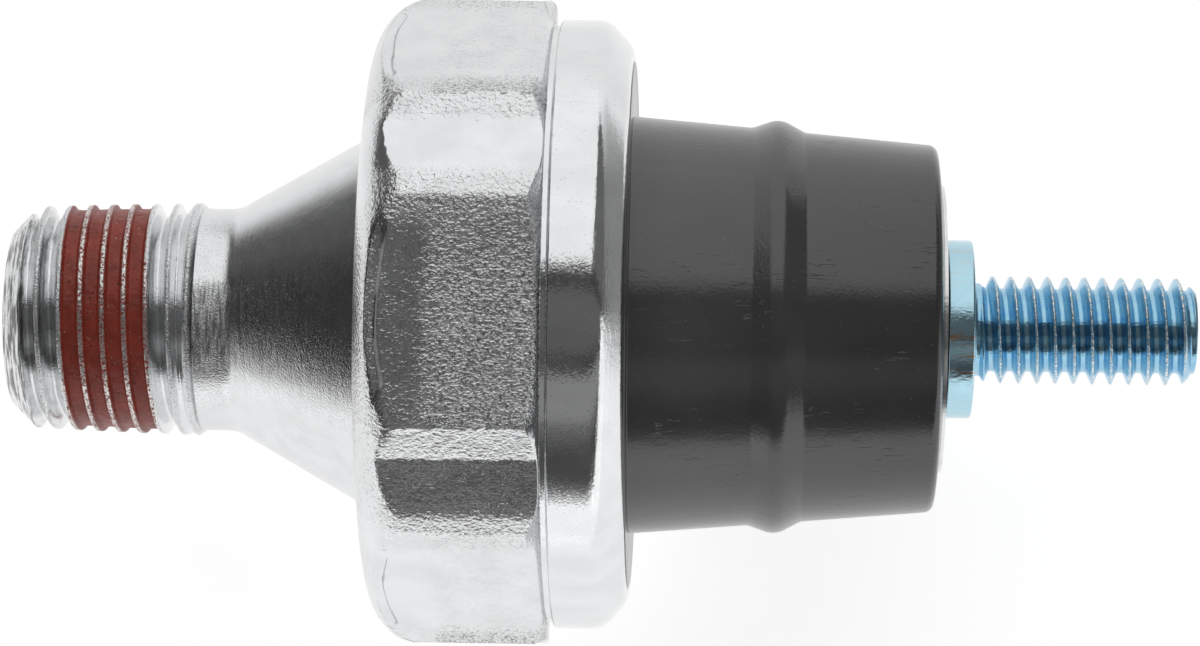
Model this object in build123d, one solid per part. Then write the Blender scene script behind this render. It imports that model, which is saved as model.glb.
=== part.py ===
from build123d import *
import math
import os

# Oil pressure sender: a steel body with a pipe thread, a diaphragm contact inside, and one terminal stud.
# All lengths are millimetres. X runs along the axis, from the pipe thread's tip at 0 to the stud's tip.
# Z is up, and the hexagon lies on the flat that faces down.

# Roundings are turned as short cones: one for a small rounding, one for each of these angles on a large one
facet_angle = 30.0
small_rounding = 1.0

# Pipe thread, drawn smooth at its crests
thread_tip_radius = 4.83
thread_taper = 1 / 32
thread_length = 7.9
thread_runout = 0.3
tip_face_diameter = 7.74

# Neck and cone
neck_diameter = 9.72
neck_length = 1.41
neck_fillet = 1.5
cone_length = 5.98
cone_half_angle = 29.5

# Hexagon
hex_across_flats = 26.56
hex_corner_diameter = 28.0
hex_length = 7.91
shoulder_rounding = 2.59

# Groove and collar
groove_width = 0.28
groove_depth = 0.25
collar_diameter = 26.5
collar_length = 3.15
lip_roll_radius = 1.9
lip_slope_angle = 55.0
lip_edge_radius = 11.8
lip_end_bevel = 0.18
lip_grip_length = 2.33
lip_gap = 0.05

# Oil passage and chamber
oil_passage_diameter = 3.2
oil_countersink = 0.5
chamber_floor_wall = 1.75
chamber_depth = 0.8
chamber_diameter = 16.0

# Seal ring in its groove under the diaphragm
seal_inner_diameter = 17.6
seal_width = 1.4
seal_height = 0.9

# Diaphragm and its round fold
diaphragm_diameter = 21.4
diaphragm_thickness = 0.25
fold_mean_radius = 6.6
fold_width = 1.5
fold_crown_width = 0.6
fold_depth = 0.42

# Pusher
foot_diameter = 10.4
foot_thickness = 0.5
stem_diameter = 4.6

# Contact ring
contact_travel = 0.6
travel_margin = 0.1
ring_web = 0.5
stem_clearance = 0.25

# Contact disc
disc_diameter = 10.8
disc_thickness = 0.6
boss_diameter = 5.6
boss_height = 0.8

# Gasket between the contact ring and the insulator
gasket_thickness = 0.8
gasket_inner_diameter = 13.2

# Insulator
stack_clearance = 0.05
flange_neck_diameter = 22.94
flange_grip = 0.4
flange_proud = 0.2
barrel_base_diameter = 18.15
barrel_draft_angle = 4.84
barrel_length = 13.12
barrel_end_rounding = 0.45
bead_distance = 4.95
bead_near_ramp = 0.9
bead_crown = 0.75
bead_far_ramp = 0.65
bead_height = 0.43
bead_crown_rounding = 0.75
bead_foot_rounding = 0.4
cavity_diameter = 12.4
end_wall = 9.25

# Spring seat
seat_thickness = 0.6
seat_diameter = 11.0
seat_rim_width = 0.6
seat_rim_height = 1.0

# Contact spring
spring_wire_diameter = 0.8
spring_mean_diameter = 7.2
spring_turns = 4
spring_wire_sides = 6

# Terminal washer and seal
washer_diameter = 12.48
washer_thickness = 0.14
terminal_seal_diameter = 7.4
terminal_seal_thickness = 0.18

# Terminal stud, drawn smooth at its thread's crests
shank_diameter = 4.0
shank_clearance = 0.03
rivet_diameter = 5.6
rivet_height = 0.9
rivet_rounding = 0.5
stud_collar_diameter = 7.74
stud_collar_thickness = 1.11
stud_collar_chamfer = 0.25
relief_diameter = 3.9
relief_length = 0.45
seat_clearance = 0.02
stud_thread_diameter = 4.72
stud_thread_length = 9.2
stud_tip_chamfer = 0.65

# Places along the axis
neck_start = thread_length + thread_runout
cone_start = neck_start + neck_length
shoulder = cone_start + cone_length
hex_end = shoulder + hex_length
collar_start = hex_end + groove_width
lip_end = collar_start + collar_length
lip_grip_start = lip_end - lip_grip_length
lip_inner_end = lip_end - lip_end_bevel
chamber_floor = shoulder + chamber_floor_wall
diaphragm_seat = chamber_floor + chamber_depth
ring_seat = diaphragm_seat + diaphragm_thickness
ring_recess_end = ring_seat + foot_thickness + contact_travel + travel_margin
ring_end = ring_recess_end + ring_web
disc_end = ring_end + disc_thickness
gasket_end = ring_end + gasket_thickness
flange_face = lip_end + flange_proud
insulator_end = flange_face + barrel_length
seat_stop = insulator_end - end_wall
seat_start = seat_stop - seat_thickness
washer_end = insulator_end + washer_thickness
seal_end = washer_end + terminal_seal_thickness
stud_collar_end = seal_end + stud_collar_thickness
stud_thread_start = stud_collar_end + relief_length
stud_end = stud_thread_start + stud_thread_length

# Radii that several pieces share
neck_radius = neck_diameter / 2
cone_end_radius = neck_radius + cone_length * math.tan(math.radians(cone_half_angle))
collar_radius = collar_diameter / 2
flange_neck_radius = flange_neck_diameter / 2
lip_inner_radius = flange_neck_radius + lip_gap
flange_radius = flange_neck_radius + flange_grip
stack_bore_radius = flange_radius + stack_clearance
chamber_radius = chamber_diameter / 2
seal_inner_radius = seal_inner_diameter / 2
seal_outer_radius = seal_inner_radius + seal_width
diaphragm_radius = diaphragm_diameter / 2
shank_radius = shank_diameter / 2
shank_hole_radius = shank_radius + shank_clearance


def rounded_corner(before, corner, after, rounding):
    """Points that take a rounded corner in short straight steps."""
    reach_in = (before - corner).normalized()
    reach_out = (after - corner).normalized()
    half_angle = reach_in.get_angle(reach_out) / 2
    run = rounding / math.tan(math.radians(half_angle))
    middle_depth = rounding / math.sin(math.radians(half_angle)) - rounding
    middle = corner + (reach_in + reach_out).normalized() * middle_depth
    arc = ThreePointArc(corner + reach_in * run, middle, corner + reach_out * run)
    steps = 1
    if rounding > small_rounding:
        steps = max(1, round((180 - 2 * half_angle) / facet_angle))
    return [arc @ (step / steps) for step in range(steps + 1)]


def turned(corners):
    """A solid turned about X from corners given as (x, radius, rounding)."""
    points = [Vector(x, radius) for x, radius, _ in corners]
    outline = []
    for index, (_, _, rounding) in enumerate(corners):
        corner = points[index]
        if rounding:
            after = points[(index + 1) % len(points)]
            outline += rounded_corner(points[index - 1], corner, after, rounding)
        else:
            outline.append(corner)
    return revolve(make_face(Polyline(*outline, close=True)), axis=Axis.X)


def ring(start, end, inner_radius, outer_radius):
    """A plain ring or washer about X."""
    return turned([
        (start, inner_radius, 0),
        (start, outer_radius, 0),
        (end, outer_radius, 0),
        (end, inner_radius, 0),
    ])


def crest_radius(x):
    """Radius over the pipe thread's crests at x."""
    return thread_tip_radius + x * thread_taper


def barrel_radius(x):
    """Radius of the insulator's tapered barrel at x, without its bead."""
    drop = (x - flange_face) * math.tan(math.radians(barrel_draft_angle))
    return barrel_base_diameter / 2 - drop


def make_body():
    """The one-piece steel body: pipe thread, cone, hexagon, groove and rolled collar, hollow inside."""
    tip_face_radius = tip_face_diameter / 2
    lead_in = (thread_tip_radius - tip_face_radius) / (1 - thread_taper)
    oil_radius = oil_passage_diameter / 2
    corner_radius = hex_corner_diameter / 2
    groove_radius = collar_radius - groove_depth
    lip_run = (collar_radius - lip_edge_radius) / math.tan(math.radians(lip_slope_angle))
    outside = [
        (0, tip_face_radius, 0),
        (lead_in, crest_radius(lead_in), 0),
        (thread_length, crest_radius(thread_length), 0),
        (neck_start, neck_radius, 0),
        (cone_start, neck_radius, neck_fillet),
        (shoulder, cone_end_radius, 0),
        (shoulder, corner_radius, shoulder_rounding),
        (hex_end, corner_radius, 0),
        (hex_end, groove_radius, 0),
        (collar_start, groove_radius, 0),
        (collar_start, collar_radius, 0),
        (lip_end - lip_run, collar_radius, lip_roll_radius),
        (lip_end, lip_edge_radius, 0),
    ]
    inside = [
        (lip_inner_end, lip_inner_radius, 0),
        (lip_grip_start, stack_bore_radius, 0),
        (ring_seat, stack_bore_radius, 0),
        (ring_seat, diaphragm_radius + stack_clearance, 0),
        (diaphragm_seat, diaphragm_radius + stack_clearance, 0),
        (diaphragm_seat, seal_outer_radius, 0),
        (diaphragm_seat - seal_height, seal_outer_radius, 0),
        (diaphragm_seat - seal_height, seal_inner_radius, 0),
        (diaphragm_seat, seal_inner_radius, 0),
        (diaphragm_seat, chamber_radius, 0),
        (chamber_floor, chamber_radius, 0),
        (chamber_floor, oil_radius, 0),
        (oil_countersink, oil_radius, 0),
        (0, oil_radius + oil_countersink, 0),
    ]
    hexagon = Plane.YZ * RegularPolygon(hex_across_flats / 2, 6, major_radius=False)
    return turned(outside + inside) & extrude(hexagon, amount=lip_end)


def make_diaphragm_seal():
    """Rubber ring that fills the body's groove."""
    return ring(diaphragm_seat - seal_height, diaphragm_seat, seal_inner_radius, seal_outer_radius)


def diaphragm_fold(face, widening):
    """One side of the diaphragm's round fold, which dips towards the oil from the flat at x = face."""
    foot = (fold_width + widening) / 2
    crown = (fold_crown_width + widening) / 2
    return [
        (face, fold_mean_radius - foot, 0),
        (face - fold_depth, fold_mean_radius - crown, 0),
        (face - fold_depth, fold_mean_radius + crown, 0),
        (face, fold_mean_radius + foot, 0),
    ]


def make_diaphragm():
    """Thin disc with one round fold between its clamped edge and the pusher's foot."""
    dry_side = diaphragm_fold(ring_seat, 0)
    oil_side = diaphragm_fold(diaphragm_seat, 2 * diaphragm_thickness)
    return turned([
        (ring_seat, 0, 0),
        *dry_side,
        (ring_seat, diaphragm_radius, 0),
        (diaphragm_seat, diaphragm_radius, 0),
        *reversed(oil_side),
        (diaphragm_seat, 0, 0),
    ])


def make_contact_ring():
    """Brass ring that clamps the diaphragm. The contact disc rests on its thin web."""
    hole_radius = stem_diameter / 2 + stem_clearance
    outer_radius = stack_bore_radius - stack_clearance
    return turned([
        (ring_seat, chamber_radius, 0),
        (ring_seat, outer_radius, 0),
        (ring_end, outer_radius, 0),
        (ring_end, hole_radius, 0),
        (ring_recess_end, hole_radius, 0),
        (ring_recess_end, chamber_radius, 0),
    ])


def make_pusher():
    """Moulded button: its foot stands on the diaphragm, and its stem carries the contact disc."""
    return turned([
        (ring_seat, 0, 0),
        (ring_seat, foot_diameter / 2, 0),
        (ring_seat + foot_thickness, foot_diameter / 2, 0),
        (ring_seat + foot_thickness, stem_diameter / 2, 0),
        (ring_end, stem_diameter / 2, 0),
        (ring_end, 0, 0),
    ])


def make_contact_disc():
    """Brass disc with a boss that centres the spring."""
    return turned([
        (ring_end, 0, 0),
        (ring_end, disc_diameter / 2, 0),
        (disc_end, disc_diameter / 2, 0),
        (disc_end, boss_diameter / 2, 0),
        (disc_end + boss_height, boss_diameter / 2, 0),
        (disc_end + boss_height, 0, 0),
    ])


def make_flange_gasket():
    """Flat rubber ring under the insulator's flange."""
    return ring(ring_end, gasket_end, gasket_inner_diameter / 2, flange_radius)


def make_insulator():
    """Moulded cap: a flange held by the lip, a tapered barrel with a bead, and a cavity for the spring."""
    bead_start = flange_face + bead_distance
    crown_start = bead_start + bead_near_ramp
    crown_end = crown_start + bead_crown
    bead_end = crown_end + bead_far_ramp
    return turned([
        (gasket_end, cavity_diameter / 2, 0),
        (gasket_end, flange_radius, 0),
        (lip_grip_start, flange_radius, 0),
        (lip_inner_end, flange_neck_radius, 0),
        (flange_face, flange_neck_radius, 0),
        (flange_face, barrel_radius(flange_face), 0),
        (bead_start, barrel_radius(bead_start), bead_foot_rounding),
        (crown_start, barrel_radius(crown_start) + bead_height, bead_crown_rounding),
        (crown_end, barrel_radius(crown_end) + bead_height, bead_crown_rounding),
        (bead_end, barrel_radius(bead_end), bead_foot_rounding),
        (insulator_end, barrel_radius(insulator_end), barrel_end_rounding),
        (insulator_end, shank_hole_radius, 0),
        (seat_stop, shank_hole_radius, 0),
        (seat_stop, cavity_diameter / 2, 0),
    ])


def make_spring_seat():
    """Cupped washer between the insulator and the stud's riveted end. Its rim centres the spring."""
    rim_radius = seat_diameter / 2
    return turned([
        (seat_start, shank_hole_radius, 0),
        (seat_start, rim_radius - seat_rim_width, 0),
        (seat_start - seat_rim_height, rim_radius - seat_rim_width, 0),
        (seat_start - seat_rim_height, rim_radius, 0),
        (seat_stop, rim_radius, seat_rim_width),
        (seat_stop, shank_hole_radius, 0),
    ])


def make_contact_spring():
    """Coil spring of shaped wire that stands between the contact disc and its seat."""
    wire_radius = spring_wire_diameter / 2
    length = seat_start - disc_end - spring_wire_diameter
    start = (disc_end + wire_radius, 0, 0)
    coil = Helix(length / spring_turns, length, spring_mean_diameter / 2, center=start, direction=(1, 0, 0))
    wire = Plane(origin=coil @ 0, z_dir=coil % 0) * RegularPolygon(wire_radius, spring_wire_sides)
    return sweep(wire, path=coil, is_frenet=True)


def make_terminal_washer():
    """Thin steel disc on the insulator's end."""
    return ring(insulator_end, washer_end, shank_hole_radius, washer_diameter / 2)


def make_terminal_seal():
    """Thin black washer under the stud's collar."""
    return ring(washer_end, seal_end, shank_hole_radius, terminal_seal_diameter / 2)


def make_terminal_stud():
    """Stud with a riveted inner end, a shank through the insulator, a collar and a screw thread."""
    collar_edge = stud_collar_diameter / 2
    crest = stud_thread_diameter / 2
    relief = relief_diameter / 2
    relief_fillet = crest + seat_clearance - relief
    return turned([
        (seat_start - rivet_height, 0, 0),
        (seat_start - rivet_height, rivet_diameter / 2, rivet_rounding),
        (seat_start, rivet_diameter / 2, 0),
        (seat_start, shank_radius, 0),
        (seal_end, shank_radius, 0),
        (seal_end, collar_edge, 0),
        (stud_collar_end - stud_collar_chamfer, collar_edge, 0),
        (stud_collar_end, collar_edge - stud_collar_chamfer, 0),
        (stud_collar_end, relief, relief_fillet),
        (stud_thread_start, relief, 0),
        (stud_thread_start + crest - relief, crest, 0),
        (stud_end - stud_tip_chamfer, crest, 0),
        (stud_end, crest - stud_tip_chamfer, 0),
        (stud_end, 0, 0),
    ])


pieces = {
    "body": make_body(),
    "diaphragm_seal": make_diaphragm_seal(),
    "diaphragm": make_diaphragm(),
    "contact_ring": make_contact_ring(),
    "pusher": make_pusher(),
    "contact_disc": make_contact_disc(),
    "contact_spring": make_contact_spring(),
    "spring_seat": make_spring_seat(),
    "flange_gasket": make_flange_gasket(),
    "insulator": make_insulator(),
    "terminal_washer": make_terminal_washer(),
    "terminal_seal": make_terminal_seal(),
    "terminal_stud": make_terminal_stud(),
}

os.makedirs("parts", exist_ok=True)
for name, piece in pieces.items():
    export_step(piece, f"parts/{name}.step")
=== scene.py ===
import math

import bpy
from bpy.props import FloatProperty, FloatVectorProperty, PointerProperty
from mathutils import Matrix, Vector, noise


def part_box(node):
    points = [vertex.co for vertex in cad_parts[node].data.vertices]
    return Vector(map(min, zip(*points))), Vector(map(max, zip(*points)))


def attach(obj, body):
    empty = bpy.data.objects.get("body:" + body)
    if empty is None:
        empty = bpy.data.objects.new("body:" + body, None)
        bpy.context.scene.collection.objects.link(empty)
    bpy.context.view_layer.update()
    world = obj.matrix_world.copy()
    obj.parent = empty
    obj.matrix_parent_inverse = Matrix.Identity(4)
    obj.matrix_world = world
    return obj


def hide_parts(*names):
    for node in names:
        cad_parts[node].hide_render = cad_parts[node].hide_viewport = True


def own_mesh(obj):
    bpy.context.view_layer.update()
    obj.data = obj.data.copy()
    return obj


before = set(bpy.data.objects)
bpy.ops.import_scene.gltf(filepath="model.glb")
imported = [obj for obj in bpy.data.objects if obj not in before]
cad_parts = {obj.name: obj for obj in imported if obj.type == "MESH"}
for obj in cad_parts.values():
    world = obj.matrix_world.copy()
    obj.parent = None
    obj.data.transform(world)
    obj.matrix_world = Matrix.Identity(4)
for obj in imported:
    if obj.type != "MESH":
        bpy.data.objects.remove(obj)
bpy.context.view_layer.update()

bl_info = {
    "name": "Oil Pressure Sender",
    "version": (1, 0, 0),
    "blender": (4, 5, 0),
    "location": "3D View > Sidebar > Sender",
    "description": "Models a sender's threads, sealant, body, insulator and stud round its packed solids",
    "category": "Add Mesh",
}

MM = 0.001

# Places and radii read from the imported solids
BODY_LOW, BODY_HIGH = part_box("body")
SEAL_LOW, SEAL_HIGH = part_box("diaphragm_seal")
SEAT_LOW, SEAT_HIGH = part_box("spring_seat")
INSULATOR_LOW, INSULATOR_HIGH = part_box("insulator")
STUD_LOW, STUD_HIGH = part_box("terminal_stud")
DIAPHRAGM_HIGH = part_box("diaphragm")[1]
RING_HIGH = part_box("contact_ring")[1]
GASKET_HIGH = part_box("flange_gasket")[1]
TERMINAL_SEAL_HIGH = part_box("terminal_seal")[1]
FLAT_RADIUS = BODY_HIGH.z
CORNER_RADIUS = BODY_HIGH.y
LIP_END = BODY_HIGH.x

# Sizes that the body and its neighbours share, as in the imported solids
LIP_GRIP = 2.33 * MM
LIP_BEVEL = 0.18 * MM
BORE_GAP = 0.05 * MM
GROOVE_WIDTH = 0.28 * MM
GROOVE_DEPTH = 0.25 * MM
SEAL_WIDTH = 1.4 * MM
CHAMBER_RADIUS = 8 * MM
CHAMBER_DEPTH = 0.8 * MM
PASSAGE_RADIUS = 1.6 * MM
HOLE_RADIUS = 2.03 * MM
STUD_COLLAR_WIDTH = 1.11 * MM

# Where a crest of each thread lies at angle 0, and how many rings of points one turn of a thread has
PIPE_CREST_PLACE = 1.382 * MM
STUD_CREST_PLACE = 42.58 * MM
RINGS_PER_TURN = 20

# A corner of the hexagon, as angles from it in degrees and radii in millimetres: the flat before it ends,
# a steep facet falls to a crease, a shallow facet rises, and a rounding meets the next flat
CORNER_SECTION = ((-10.4, 14.096), (-3.9, 13.70), (6.4, 14.08), (10.4, 14.096))

# Radius of the hexagon's blank, the steps of its rounded shoulder, and the size of its flats' unevenness
HEXAGON_BLANK = 14.16 * MM
SHOULDER_ARC_STEPS = 30
WAVINESS = 2.4 * MM

# How far beyond the shoulder the pressed step's ring of points lies before it is moved
STEP_PLACE = 1.237 * MM

# Angles of the lathe's steps in each of the hexagon's six sectors, gathered at the creases
SECTOR_DEGREES = (
    -10.4, -10.0, -8.4, -6.8, -5.4, -4.3, -3.9, -3.5, -2.0, 0.0, 2.0, 4.0, 5.8, 6.4, 7.4, 8.5, 9.5,
    10.4, 11.2, 13.2, 16.0, 19.3, 22.6, 25.9, 29.2, 32.5, 35.8, 39.1, 42.4, 45.2, 47.4, 49.1,
)
SECTOR_STEPS = len(SECTOR_DEGREES)
LATHE_STEPS = 6 * SECTOR_STEPS
STRIP_HALF_ANGLE = math.radians(30) - math.acos(FLAT_RADIUS / CORNER_RADIUS)

# The smallest distance that the lathe leaves between two points
WELD = 0.002 * MM


def length_setting(name, description, millimetres):
    """A length that the sidebar shows."""
    return FloatProperty(name=name, description=description, default=millimetres * MM,
                         unit="LENGTH", precision=6)


def colour_setting(name, description, default):
    """A colour that the sidebar shows."""
    return FloatVectorProperty(name=name, description=description, subtype="COLOR", default=default)


class SenderBodySizes(bpy.types.PropertyGroup):
    """Sizes of the steel body and its pipe thread."""
    pitch: length_setting("Pipe thread pitch", "27 threads an inch", 0.9407)
    thread_depth: length_setting("Pipe thread depth", "Depth of the bare thread", 0.57)
    thread_end: length_setting("Thread end", "Where the pipe thread has run out into the neck", 8.12)
    tip_radius: length_setting("Thread tip radius", "Radius over the crests at the tip", 4.83)
    tip_face_radius: length_setting("Tip face radius", "Radius of the flat tip before its lead-in", 3.87)
    neck_radius: length_setting("Neck radius", "Radius of the plain neck behind the thread", 4.86)
    cone_start: length_setting("Cone start", "Where the neck turns into the cone", 9.74)
    shoulder: length_setting("Shoulder", "Face at the foot of the hexagon", 15.81)
    cone_foot_radius: length_setting("Cone foot radius", "Radius where the cone meets the shoulder", 8.29)
    shoulder_rounding: length_setting("Shoulder rounding", "Rounding of the hexagon's near corners", 2.59)
    hexagon_end: length_setting("Hexagon end", "Face of the hexagon beside the collar's groove", 23.5)
    collar_radius: length_setting("Collar radius", "Radius of the collar rolled over the insulator", 13.25)


class SenderSealantSizes(bpy.types.PropertyGroup):
    """Sizes of the dried sealant on the pipe thread."""
    start: length_setting("Sealant start", "Where the sealant begins", 2.4)
    end: length_setting("Sealant end", "Where the sealant stops", 6.23)
    groove_depth: length_setting("Groove depth", "Depth that the sealant leaves in the thread", 0.2)


class SenderInsulatorSizes(bpy.types.PropertyGroup):
    """Sizes of the moulded insulator."""
    barrel_radius: length_setting("Barrel radius", "Radius of the barrel where it leaves the collar", 9.075)
    draft: FloatProperty(
        name="Draft", description="Slope of the barrel's side",
        default=math.radians(4.84), subtype="ANGLE")
    bead_height: length_setting("Bead height", "How far the bead stands proud of the barrel", 0.41)


class SenderStudSizes(bpy.types.PropertyGroup):
    """Sizes of the terminal stud."""
    pitch: length_setting("Stud thread pitch", "32 threads an inch", 0.79375)
    crest_radius: length_setting("Crest radius", "Radius over the stud's thread", 2.33)
    root_radius: length_setting("Root radius", "Radius at the bottom of the stud's thread", 1.81)


class SenderColours(bpy.types.PropertyGroup):
    """Colours of the finishes."""
    zinc: colour_setting("Zinc", "Silver zinc plate", (0.80, 0.81, 0.82))
    blue_zinc: colour_setting("Blue zinc", "Blue passivated zinc", (0.27, 0.52, 0.72))
    washer: colour_setting("Washer steel", "Bright plated washer", (0.86, 0.86, 0.87))
    sealant: colour_setting("Sealant", "Dried thread sealant", (0.36, 0.054, 0.032))
    plastic: colour_setting("Black moulding", "The insulator", (0.074, 0.078, 0.075))
    brass: colour_setting("Brass", "Contacts inside", (0.80, 0.58, 0.26))
    film: colour_setting("Film", "The diaphragm", (0.62, 0.28, 0.06))


class SenderStageSettings(bpy.types.PropertyGroup):
    """Camera and lights."""
    elevation: FloatProperty(
        name="Elevation", description="Height of the camera's view over the floor",
        default=math.radians(88.0), subtype="ANGLE")
    roll: FloatProperty(
        name="Roll", description="Turn of the picture",
        default=math.radians(0.76), subtype="ANGLE")
    distance: FloatProperty(
        name="Distance", description="From the camera to the sender's axis",
        default=174.5 * MM, unit="LENGTH")
    lens: FloatProperty(
        name="Lens", description="Focal length", default=120.0, unit="CAMERA")
    softbox_brightness: FloatProperty(
        name="Softboxes", description="Brightness of the softboxes' faces, where 1 is white", default=1.0)


def smooth(share):
    """Eases a share from 0 to 1."""
    share = min(max(share, 0.0), 1.0)
    return share * share * (3 - 2 * share)


def rounded(corners, arc_step=math.radians(12)):
    """Points of a closed outline from corners (x, radius, rounding), with each rounding as an arc."""
    points = []
    for index, (x, radius, rounding) in enumerate(corners):
        corner = Vector((x, radius))
        if not rounding:
            points.append(corner)
            continue
        reach_in = (Vector(corners[index - 1][:2]) - corner).normalized()
        reach_out = (Vector(corners[(index + 1) % len(corners)][:2]) - corner).normalized()
        half = reach_in.angle(reach_out) / 2
        centre = corner + (reach_in + reach_out).normalized() * (rounding / math.sin(half))
        spoke = corner + reach_in * (rounding / math.tan(half)) - centre
        turn = math.pi - 2 * half
        if reach_in.x * reach_out.y - reach_in.y * reach_out.x > 0:
            turn = -turn
        steps = max(2, math.ceil(abs(turn) / arc_step))
        for step in range(steps + 1):
            points.append(centre + Matrix.Rotation(turn * step / steps, 2) @ spoke)
    return points


def spaced(start, end, spacing, radius_at):
    """Points between two places along the axis, at a radius that a function gives."""
    count = max(1, round((end - start) / spacing))
    places = [start + (end - start) * step / count for step in range(count + 1)]
    return [Vector((x, radius_at(x))) for x in places]


def lathe(name, outline, steps, closed=True):
    """Draws an outline of (x, radius) points by extruding a vertex, and spins it about the axis."""
    bpy.ops.object.select_all(action="DESELECT")
    bpy.ops.mesh.primitive_plane_add(size=MM, location=(0, 0, 0))
    piece = bpy.context.object
    piece.name = name
    piece.data.name = name
    bpy.ops.object.mode_set(mode="EDIT")
    bpy.ops.mesh.select_all(action="SELECT")
    bpy.ops.mesh.merge(type="CENTER")
    bpy.ops.transform.translate(value=(outline[0].x, outline[0].y, 0))
    path = outline + [outline[0]] if closed else outline
    for before, after in zip(path, path[1:]):
        step = after - before
        bpy.ops.mesh.extrude_vertices_move(TRANSFORM_OT_translate={"value": (step.x, step.y, 0)})
    bpy.ops.mesh.select_all(action="SELECT")
    bpy.ops.mesh.remove_doubles(threshold=WELD)
    bpy.ops.mesh.spin(steps=steps, angle=math.tau, center=(0, 0, 0), axis=(1, 0, 0))
    bpy.ops.mesh.select_all(action="SELECT")
    bpy.ops.mesh.remove_doubles(threshold=WELD)
    bpy.ops.object.mode_set(mode="OBJECT")
    return piece


def reshape(piece, form):
    """Moves every point of a turned piece to where form(x, radius, angle) puts it."""
    for vertex in piece.data.vertices:
        x, y, z = vertex.co
        x, radius, angle = form(x, math.hypot(y, z), math.atan2(z, y))
        vertex.co = (x, radius * math.cos(angle), radius * math.sin(angle))


def finish_mesh(piece):
    """Points the faces outwards and shades them smooth."""
    bpy.ops.object.select_all(action="DESELECT")
    piece.select_set(True)
    bpy.context.view_layer.objects.active = piece
    bpy.ops.object.mode_set(mode="EDIT")
    bpy.ops.mesh.select_all(action="SELECT")
    bpy.ops.mesh.normals_make_consistent(inside=False)
    bpy.ops.object.mode_set(mode="OBJECT")
    bpy.ops.object.shade_smooth()
    piece.data.update()


def lathe_angle(angle):
    """The angle of a lathe step after the steps are gathered at the hexagon's creases."""
    step = round(angle / math.tau * LATHE_STEPS) % LATHE_STEPS
    sector, within = divmod(step, SECTOR_STEPS)
    return math.radians(60 * sector + SECTOR_DEGREES[within])


def sector_offset(angle):
    """Degrees from the corner of a sector that an angle lies in."""
    start = SECTOR_DEGREES[0]
    return (math.degrees(angle) - start) % 60 + start


def corner_offset(angle):
    """Angle from the nearest corner of the hexagon."""
    return abs((angle + math.radians(30)) % math.radians(60) - math.radians(30))


def section_radius(angle):
    """Radius of the hexagon's section at an angle."""
    offset = sector_offset(angle)
    for (start, low), (end, high) in zip(CORNER_SECTION, CORNER_SECTION[1:]):
        if offset <= end:
            after = math.sin(math.radians(offset - start)) / high
            before = math.sin(math.radians(end - offset)) / low
            return math.sin(math.radians(end - start)) / (before + after) * MM
    return FLAT_RADIUS / math.cos(math.radians(30 - offset))


def thread_groove(turns, crest_share, root_share):
    """Share of a thread's depth at a number of turns from a crest: 0 on the crest, 1 in the root."""
    across = abs(turns - math.floor(turns + 0.5)) * 2
    slope = min(max((across - crest_share) / (1 - crest_share - root_share), 0.0), 1.0)
    return 0.6 * slope + 0.4 * smooth(slope)


def pipe_crest(sizes, x):
    """Radius over the pipe thread's crests."""
    return sizes.tip_radius + x / 32


def pipe_thread_radius(sizes, x, angle):
    """Radius of the pipe thread's surface, which runs out before the neck."""
    turns = (x - PIPE_CREST_PLACE) / sizes.pitch - angle / math.tau
    runout = 1 - smooth((x - sizes.thread_end + sizes.pitch) / sizes.pitch)
    return pipe_crest(sizes, x) - sizes.thread_depth * runout * thread_groove(turns, 0.16, 0.12)


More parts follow.
